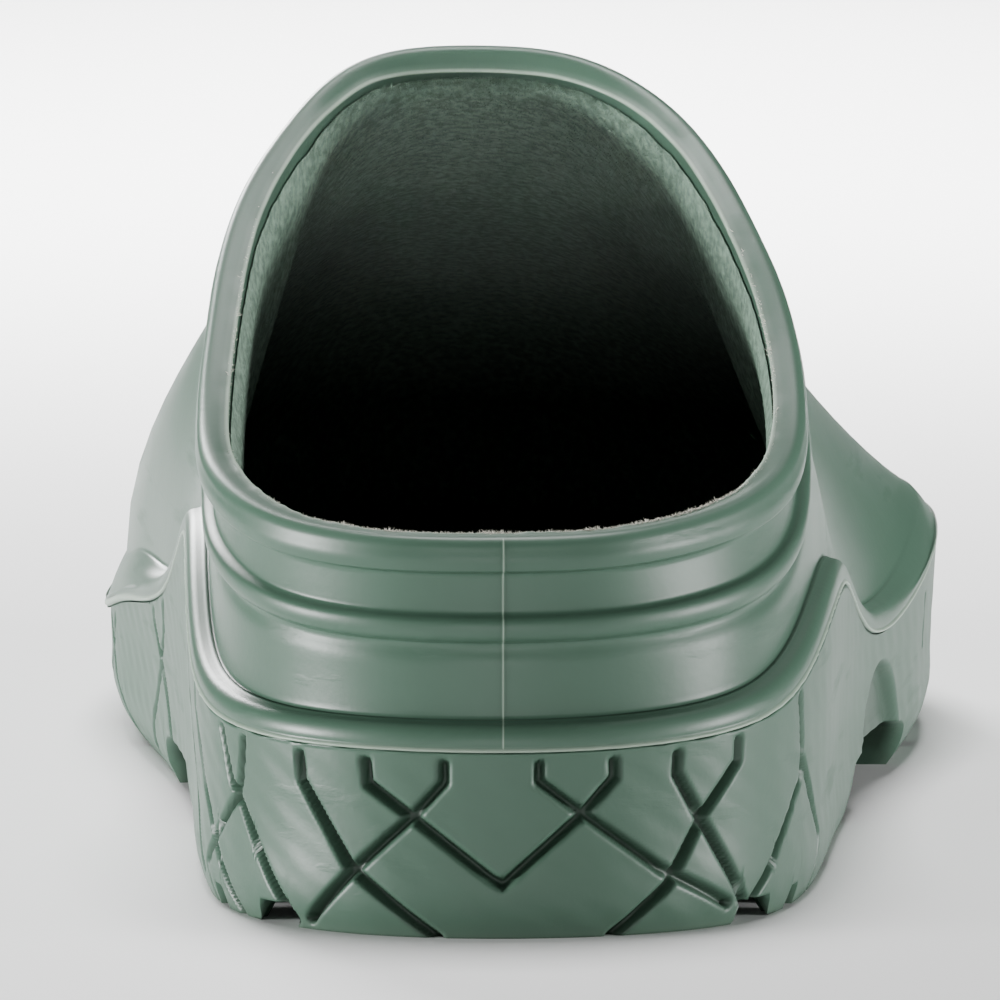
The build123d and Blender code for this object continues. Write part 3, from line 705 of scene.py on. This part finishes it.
# Lattice strokes round the heel: distance round from the back of the heel, height. Most
# start under the welt, drop straight, then lean and cross a neighbour.
heelStrokes = [
    [(-48, 30), (-43.5, 17), (-41.5, 15.8), (-30, 1)],
    [(-38, 30), (-40.5, 18), (-41.5, 15.8), (-56, 5), (-55, 0)],
    [(-28.3, 30), (-27.6, 19.2), (-20.2, 8.6), (-8.5, 0)],
    [(-18.6, 30), (-17.5, 19.4), (-11.6, 15.4), (-1.5, 7.8), (0, 7)],
    [(-7.5, 30), (-7.5, 19.8), (-11.6, 15.4), (-19.3, 8.7), (-27, 1.5)],
    [(4.6, 30), (4.6, 20), (10.2, 15.8), (20.9, 8.3), (32, 3)],
    [(13.8, 30), (14.3, 20.3), (10.2, 15.8), (0, 7)],
    [(23.3, 30), (22.9, 20.3), (26.5, 14.8), (35, 3)],
    [(32.9, 32), (32.9, 21), (27.3, 15), (21.8, 6.2), (14.3, 0)],
    [(47, 36), (52, 20), (52, 16.4), (37, 3)],
    [(53, 18.5), (66, 7), (64.5, 0)],
    [(-62, 36), (-62, 24), (-57, 15), (-47, 5), (-43, 0)],
    [(-76, 40), (-75, 25), (-70, 17), (-60, 4)],
]


def crossedPair(centre, top, cross, spread):
    # Two strokes that drop side by side, cross once and run apart to the tread.
    return [
        [
            (centre + way * 0.42 * spread, top), (centre + way * 0.38 * spread, cross + 5),
            (centre, cross), (centre - way * spread, 3.5), (centre - way * 1.1 * spread, 0),
        ]
        for way in (-1, 1)
    ]


# The forefoot repeats the pattern more widely: three crossed pairs on the inner side; on the
# outer side one pair near the toe, with a short upright notch behind it and a plain waist.
innerStrokes = crossedPair(-159, 26, 17, 13) + crossedPair(-210, 22, 12, 12) + crossedPair(-246, 24, 13, 13)
outerStrokes = crossedPair(246, 27, 15, 13) + [[(191, 21.5), (191, 15.5)]]


def strokeDepth(s, z, strokes, width):
    # Depth share of cut grooves: 1 along each stroke, sloping to 0 just past half its width.
    near = np.full(s.shape, 1e3)
    for stroke in strokes:
        for (s0, z0), (s1, z1) in zip(stroke, stroke[1:]):
            ds, dz = s1 - s0, z1 - z0
            u = np.clip(((s - s0) * ds + (z - z0) * dz) / (ds * ds + dz * dz), 0, 1)
            near = np.minimum(near, np.hypot(s - s0 - u * ds, z - z0 - u * dz))
    return 1 - smoothStep(0.18, width * 0.5 + 0.12, near)


def middleLine(y, back, front):
    # Line along the middle of the sole between two distances, bowed inward at the toe.
    y = np.clip(y, back, front)
    return np.stack([np.interp(y, [back, 120, 200, front], [0.5, 1.5, 2.5, -4.0]), y], axis=1)


def treadSlots(y, shares, depth, width):
    # Slots straight across the tread, centred on shares of the length.
    cut = np.zeros_like(y)
    for share in shares:
        middle = share * clog["length"]
        cut = np.maximum(cut, depth * bump01(y, middle - width / 2, middle + width / 2, 0.25))
    return cut


def treadCut(x, y):
    # Height of the tread above the ground: slots across it, two slots along the heel, and
    # the open gap under the waist.
    heelSlots = treadSlots(y, (0.10, 0.22), 3.0, 3.5)
    ballSlots = treadSlots(y, (0.60, 0.67, 0.74, 0.81, 0.88, 0.94), 3.9, 4.5)
    cut = np.maximum(heelSlots, ballSlots)
    for middle in (-27.5, 30.4):
        slot = bump01(x, middle - 2, middle + 2, 0.3) * (y < archStart)
        cut = np.maximum(cut, 3.0 * slot)
    # The gap ends sooner on the inner side, where the front block reaches further back.
    end = archEnd - 0.06 * clog["length"] * smoothStep(10, 45, -x)
    half = (end - archStart) / 2
    arch = np.clip(1 - np.abs((y - (archStart + end) / 2) / half) ** 8, 0, 1)
    return np.maximum(cut, archRoof * arch ** 0.5)


def buildSole():
    closed = np.concatenate([plan, plan[:1]])
    run = np.concatenate([[0], np.cumsum(np.linalg.norm(np.diff(closed, axis=0), axis=1))])
    total = run[-1]
    spread = np.linspace(-total / 2, total / 2, 4001)
    weight = 1.0 + 2.2 * (np.abs(spread) < 70) + 1.3 * bump01(np.abs(spread), 142, 264, 8)
    share = np.concatenate([[0], np.cumsum((weight[1:] + weight[:-1]) / 2)])
    s = np.interp(np.linspace(0, share[-1], soleBuild["columns"], endpoint=False), share, spread)
    around = s % total
    base = np.stack([np.interp(around, run, closed[:, k]) for k in (0, 1)], axis=1)
    ahead = np.stack([np.interp((around + 0.4) % total, run, closed[:, k]) for k in (0, 1)], axis=1)
    way = (ahead - base) / np.linalg.norm(ahead - base, axis=1)[:, None]
    out = np.stack([way[:, 1], -way[:, 0]], axis=1)
    draftSlopes = splineSlopes(draft[:, 0], draft[:, 1], False)

    def wallSpot(z, dent):
        inset = splineAt(draft[:, 0], draft[:, 1], draftSlopes, np.clip(z, 0, 48))
        # The forefoot rounds in further close to the ground.
        ahead = smoothStep(0.38, 0.58, base[:, 1:2] / clog["length"])
        inset = inset + 2.2 * ahead * np.clip(1 - z / 9, 0, 1) ** 1.5 + dent
        flat = base[:, None] - out[:, None] * inset[..., None]
        return np.concatenate([flat, z[..., None]], axis=-1)

    topZ = waveHeight(base[:, 0], base[:, 1])
    footSpot = base - out * 3.0
    lowZ = treadCut(footSpot[:, 0], footSpot[:, 1])
    rows = np.linspace(0, 1, soleBuild["wallRows"])[None, :]
    z = lowZ[:, None] + (topZ - lowZ)[:, None] * rows
    ss = np.broadcast_to(s[:, None], z.shape)
    y = base[:, 1:2]
    strokes = heelStrokes + innerStrokes + outerStrokes
    cut = strokeDepth(ss, z, strokes, groove["width"])
    cut *= 1 - smoothStep(-1.4, -0.5, z - topZ[:, None])
    middle = (archStart + archEnd) / 2
    # A round recess in the outer wall, over the gap under the waist.
    fromArch = np.hypot(y - middle - 2, z - 1.5)
    hollow = (1 - smoothStep(14.8, 16.6, fromArch)) * (base[:, :1] > 0)
    dent = groove["depth"] * cut + 1.9 * hollow * (1 - 0.4 * cut)
    # A slight ripple, so the pads between the grooves are not dead flat.
    pad = 0.10 * np.sin(ss * 0.9 + z) * np.sin(z * 0.55)
    wall = wallSpot(z, dent + pad * 0.5)
    # Underside: rings shrinking to the middle line of the sole, cut by the tread pattern.
    lowEdge = wall[:, 0]
    spine = middleLine(lowEdge[:, 1], 34, 250)
    shares = np.linspace(0, 1, soleBuild["treadRows"])[None, 1:]
    flat = lowEdge[:, None, :2] + (spine[:, None] - lowEdge[:, None, :2]) * shares[..., None]
    underZ = treadCut(flat[..., 0], flat[..., 1])
    under = np.concatenate([flat, underZ[..., None]], axis=-1)
    # Top edge, inner side of the wall and floor, hidden by the upper and the insole board.
    ledge = []
    for inset in (0.25, clog["soleWall"]):
        flatSpot = base - out * inset
        height = waveHeight(flatSpot[:, 0], flatSpot[:, 1])
        ledge.append(np.concatenate([flatSpot, height[:, None]], axis=1)[:, None])
    inner = base - out * clog["soleWall"]
    ledge.append(np.concatenate([inner, floorHeight(inner[:, 1])[:, None]], axis=1)[:, None])
    for share in (0.35, 0.7, 1.0):
        flatSpot = inner + (spine - inner) * share
        ledge.append(np.concatenate([flatSpot, floorHeight(flatSpot[:, 1])[:, None]], axis=1)[:, None])
    points = np.concatenate([under[:, ::-1], wall] + ledge, axis=1)
    count = points.shape[1]
    under0 = np.zeros(under.shape[:2])
    rest = np.zeros((len(s), len(ledge)))
    edgeWear = np.exp(-z / 1.2) * 0.25
    # Painted shade: the underside is darker all over, and darkest in its slots and the gap under the waist.
    underShade = 0.3 + 0.7 * smoothStep(0.5, 3.0, underZ)
    # Painted shade in the wall's grooves and in the round recess over the arch. The bottom edge of the wall
    # is also slightly paled and darkened.
    layers = {
        "flash": np.concatenate([under0, edgeWear * 0.4, rest], axis=1),
        "shadeAndGrime": np.concatenate([underShade, 0.75 * cut + 0.45 * hollow + edgeWear, rest], axis=1),
    }
    faces = gridFaces(len(s), count)
    piece = makeMesh("latticeSole", points.reshape(-1, 3), faces, soleRubber, layers)
    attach(piece, "clog")
    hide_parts("outsole")
    print("sole", len(s), count, len(faces) * 2)


buildSole()

bed = {"columns": 420, "inset": 9.7, "low": 2.4, "thick": 6.0, "rows": 26}


def buildFootbed():
    theta = ringBearings(bed["columns"])
    rim = outlineSpot(theta, bed["inset"], 0)
    spine = middleLine(rim[:, 1], 40, 245)
    shares = np.linspace(0, 1, bed["rows"]) ** 0.8
    rows = []
    for share in shares[::-1]:
        flat = rim[:, :2] + (spine - rim[:, :2]) * share
        rows.append(np.concatenate([flat, (floorHeight(flat[:, 1]) + bed["low"])[:, None]], axis=1))
    thick = bed["thick"]
    for rise, inset in ((1.0, 0.0), (thick - 1.2, 0.0), (thick - 0.5, 0.25), (thick, 0.9)):
        flat = outlineSpot(theta, bed["inset"] + inset, 0)
        flat[:, 2] = floorHeight(flat[:, 1]) + bed["low"] + rise
        rows.append(flat)
    for share in shares[1:]:
        flat = rim[:, :2] + (spine - rim[:, :2]) * share
        heel = 1.2 * smoothStep(0, 0.7, share) * (1 - smoothStep(60, 130, flat[:, 1]))
        z = floorHeight(flat[:, 1]) + bed["low"] + bed["thick"] - heel
        rows.append(np.concatenate([flat, z[:, None]], axis=1))
    points = np.stack(rows, axis=1)
    faces = gridFaces(bed["columns"], points.shape[1])
    piece = makeMesh("softFootbed", points.reshape(-1, 3), faces, bedCloth)
    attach(piece, "footbed")
    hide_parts("footbed_foam", "footbed_cover")


buildFootbed()

stage = {"floor": (0.86, 0.86, 0.86), "reach": 7000.0, "glow": 0.05}
view = {"lens": 432, "sensor": 36, "tilt": 7, "place": (-0.4, -1478.2, 237.0), "far": 20}


def plainMaterial(name, colour, roughness):
    material = bpy.data.materials.new(name)
    material.use_nodes = True
    shader = material.node_tree.nodes["Principled BSDF"]
    shader.inputs["Base Color"].default_value = (*colour, 1)
    shader.inputs["Roughness"].default_value = roughness
    return material


def buildStage():
    # One wide, pale, level floor, so the clog can be looked at from every side.
    ends = (-stage["reach"], stage["reach"])
    points = np.array([[x, y, 0.0] for y in ends for x in ends]) - frameShift
    faces = np.array([[0, 1, 3, 2]])
    floor = makeMesh("floor", points, faces, plainMaterial("pale floor", stage["floor"], 0.9))


def addLight(name, place, target, size, power, spread=180):
    data = bpy.data.lights.new(name, "AREA")
    data.shape = "RECTANGLE"
    data.size, data.size_y = size
    data.energy = power
    data.spread = math.radians(spread)
    lamp = bpy.data.objects.new(name, data)
    bpy.context.scene.collection.objects.link(lamp)
    lamp.location = place
    lamp.rotation_euler = (Vector(target) - Vector(place)).to_track_quat("-Z", "Y").to_euler()


buildStage()
addLight("left softbox", (-1.50, -0.40, 0.09), (0, 0.02, 0.06), (0.55, 0.16), 13, 90)
addLight("right softbox", (1.50, -0.36, 0.09), (0, 0.02, 0.06), (0.55, 0.16), 8.5, 90)
addLight("top softbox", (0, 0.20, 1.4), (0, 0, 0), (0.7, 0.7), 13, 120)
addLight("front strip", (0.0, -1.9, 0.08), (0, 0.0, 0.08), (0.7, 0.14), 2.2, 120)
addLight("snoot into the opening", (0, -0.75, 0.090), (0, 0.0, 0.092), (0.085, 0.026), 0.0085, 5)
addLight("floor light", (0, 1.05, 1.2), (0, 1.05, 0), (0.6, 1.0), 16, 45)
addLight("toe softbox", (-0.5, 1.5, 0.7), (0, 0.1, 0.03), (0.5, 0.4), 5, 60)
world = bpy.data.worlds.new("studio")
bpy.context.scene.world = world
world.use_nodes = True
world.node_tree.nodes["Background"].inputs["Color"].default_value = (1, 1, 1, 1)
world.node_tree.nodes["Background"].inputs["Strength"].default_value = stage["glow"]

cameraData = bpy.data.cameras.new("camera")
cameraData.lens = view["lens"]
cameraData.sensor_width = view["sensor"]
cameraData.clip_end = view["far"]
camera = bpy.data.objects.new("camera", cameraData)
bpy.context.scene.collection.objects.link(camera)
camera.location = [float(v) / 1000 for v in np.array(view["place"]) + frameShift]
camera.rotation_euler = (math.radians(90 - view["tilt"]), 0, 0)
bpy.context.scene.camera = camera
print("stage ready")
